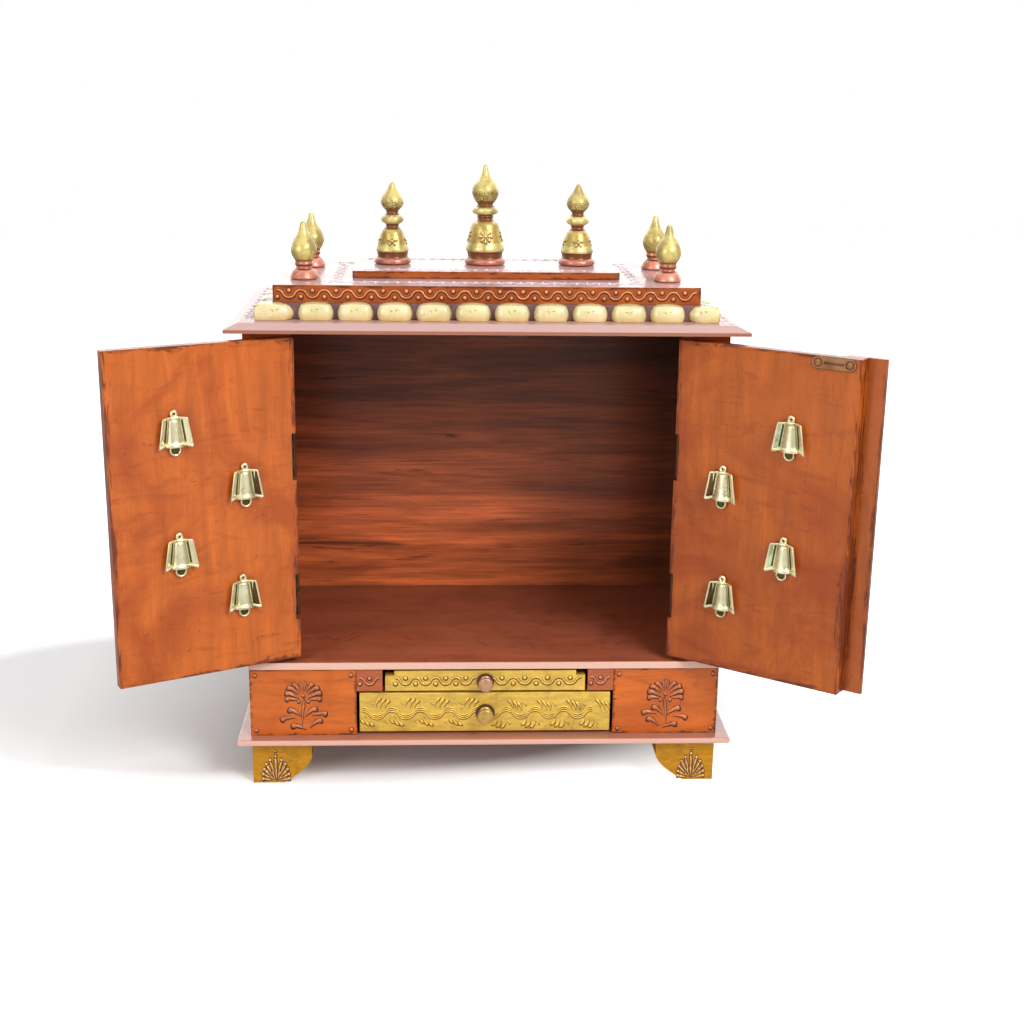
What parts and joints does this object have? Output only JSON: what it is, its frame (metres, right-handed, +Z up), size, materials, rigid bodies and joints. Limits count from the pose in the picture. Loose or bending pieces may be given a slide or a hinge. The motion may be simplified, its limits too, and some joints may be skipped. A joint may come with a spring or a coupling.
{
  "type": "pooja mandir cabinet",
  "caption": "Wooden pooja mandir cabinet with hinged bell-hung doors, drawer, pull-out tray, stepped petal roof with turned finials and bracket feet.",
  "frame": {"origin": "centre of the bottom of the box round the cabinet with both doors standing open as in the picture, on the plane of the foot soles", "axes": "+Z up, -Y out of the doors towards the viewer, +X to the viewer's right"},
  "size_m": [0.7684, 0.3994, 0.665],
  "materials": {
    "stained_wood": "orange-brown stain under gloss lacquer, with brush streaks",
    "dark_wood": "dark red-brown stain, satin",
    "gold_paint": "antique gold paint with brown patina",
    "gilded_finial": "antique gold over copper-red rings",
    "cream_lacquer": "cream-gold gloss lacquer",
    "brass": "cast, pale and lightly aged",
    "bright_steel": "bright plated",
    "catch_plastic": "matt brown"
  },
  "bodies": {
    "cabinet": {"base_panel_left": "stained_wood", "base_panel_right": "stained_wood", "base_side_left": "stained_wood", "base_side_right": "stained_wood", "tray_shelf": "stained_wood", "floor_board": "stained_wood", "side_wall_left": "stained_wood", "side_wall_right": "stained_wood", "stile_left": "stained_wood", "stile_right": "stained_wood", "eave_board": "stained_wood", "roof_box": "stained_wood", "roof_cap": "stained_wood", "base_plate": "dark_wood", "drawer_guide_left": "dark_wood", "drawer_guide_right": "dark_wood", "back_wall": "dark_wood", "foot_front_left": "gold_paint", "foot_front_right": "gold_paint", "foot_back_left": "gold_paint", "foot_back_right": "gold_paint", "finial_centre": "gilded_finial", "finial_left": "gilded_finial", "finial_right": "gilded_finial", "corner_finial_front_left": "gilded_finial", "corner_finial_front_right": "gilded_finial", "corner_finial_back_left": "gilded_finial", "corner_finial_back_right": "gilded_finial", "petals_front": "cream_lacquer", "petals_back": "cream_lacquer", "petals_left": "cream_lacquer", "petals_right": "cream_lacquer", "hinge_stile_left_lower": "brass", "hinge_stile_left_upper": "brass", "hinge_stile_right_lower": "brass", "hinge_stile_right_upper": "brass", "magnet_catch": "catch_plastic"},
    "door_left": {"door_left": "stained_wood", "hinge_door_left_lower": "brass", "hinge_door_left_upper": "brass", "bell_left_1": "brass", "bell_left_2": "brass", "bell_left_3": "brass", "bell_left_4": "brass", "door_knob_left": "brass"},
    "door_right": {"door_right": "stained_wood", "astragal": "stained_wood", "strike_plate": "bright_steel", "hinge_door_right_lower": "brass", "hinge_door_right_upper": "brass", "bell_right_1": "brass", "bell_right_2": "brass", "bell_right_3": "brass", "bell_right_4": "brass", "door_knob_right": "brass"},
    "drawer": {"drawer_front": "gold_paint", "drawer_box": "dark_wood", "drawer_knob": "brass"},
    "tray": {"tray": "gold_paint", "tray_knob": "brass"}
  },
  "joints": [
    {"name": "door_left_hinge", "type": "hinge", "parent": "cabinet", "child": "door_left", "pos_m": [-0.2062, -0.07135, 0.32275], "axis": [0, 0, 1], "range_deg": [-22, 152.8]},
    {"name": "door_right_hinge", "type": "hinge", "parent": "cabinet", "child": "door_right", "pos_m": [0.2008, -0.07135, 0.32275], "axis": [0, 0, -1], "range_deg": [-31, 144]},
    {"name": "drawer_slide", "type": "slide", "parent": "cabinet", "child": "drawer", "axis": [0, -1, 0], "range_m": [0, 0.19]},
    {"name": "tray_slide", "type": "slide", "parent": "cabinet", "child": "tray", "axis": [0, -1, 0], "range_m": [0, 0.16]}
  ]
}
